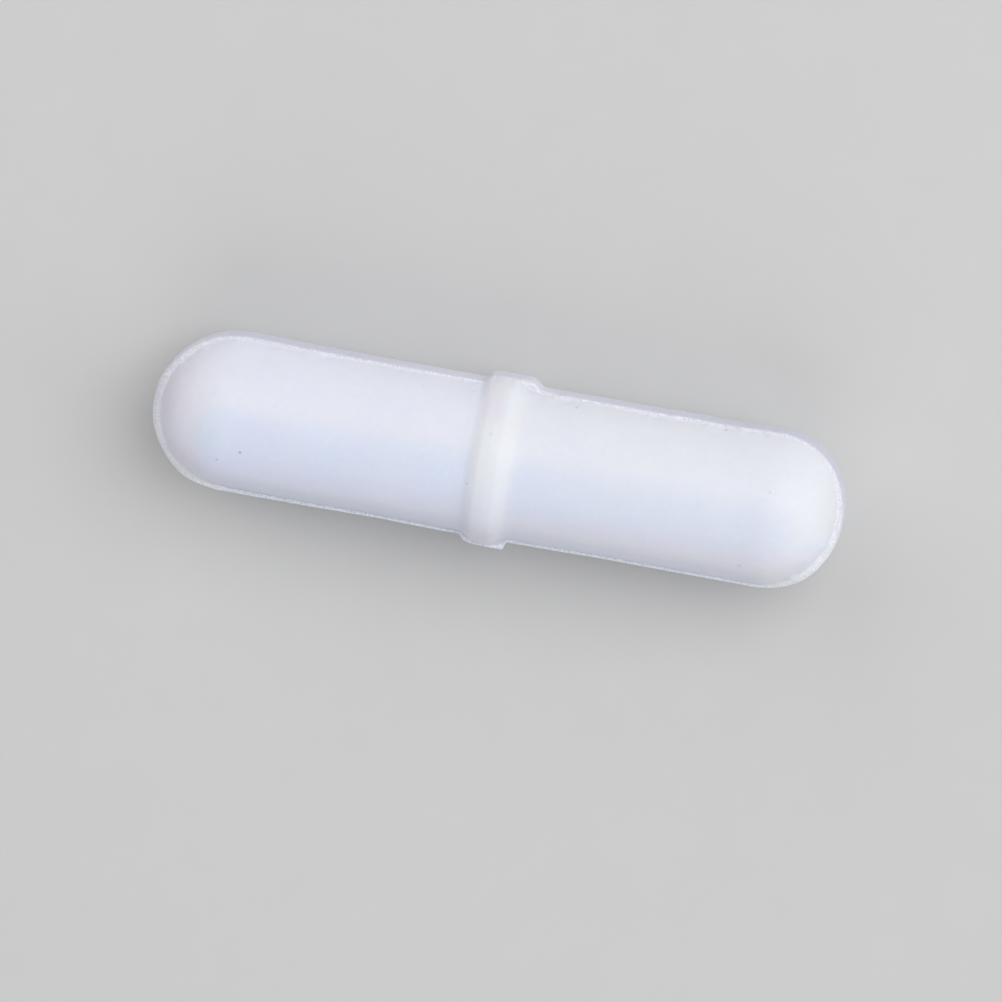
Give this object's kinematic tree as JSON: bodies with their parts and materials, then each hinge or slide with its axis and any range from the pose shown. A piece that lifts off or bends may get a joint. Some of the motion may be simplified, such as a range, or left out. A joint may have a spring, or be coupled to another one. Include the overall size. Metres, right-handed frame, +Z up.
{
  "type": "magnetic stir bar",
  "caption": "Round-ended white rod with a raised pivot ring round its middle: a permanent magnet sealed in a moulded PTFE jacket, spun by a drive magnet to stir a liquid.",
  "frame": {"origin": "below the middle of the bar, at the lowest point of the pivot ring, on the surface that the ring stands on", "axes": "+X along the bar to its right end; +Y across it; +Z up, square to the level parting plane"},
  "size_m": [0.035, 0.0088, 0.0085],
  "materials": {
    "jacket": "satin moulded PTFE, slightly translucent",
    "magnet": "ground cast magnet alloy"
  },
  "bodies": {
    "root": {"ptfe_jacket": "jacket", "magnet_core": "magnet"}
  },
  "joints": []
}
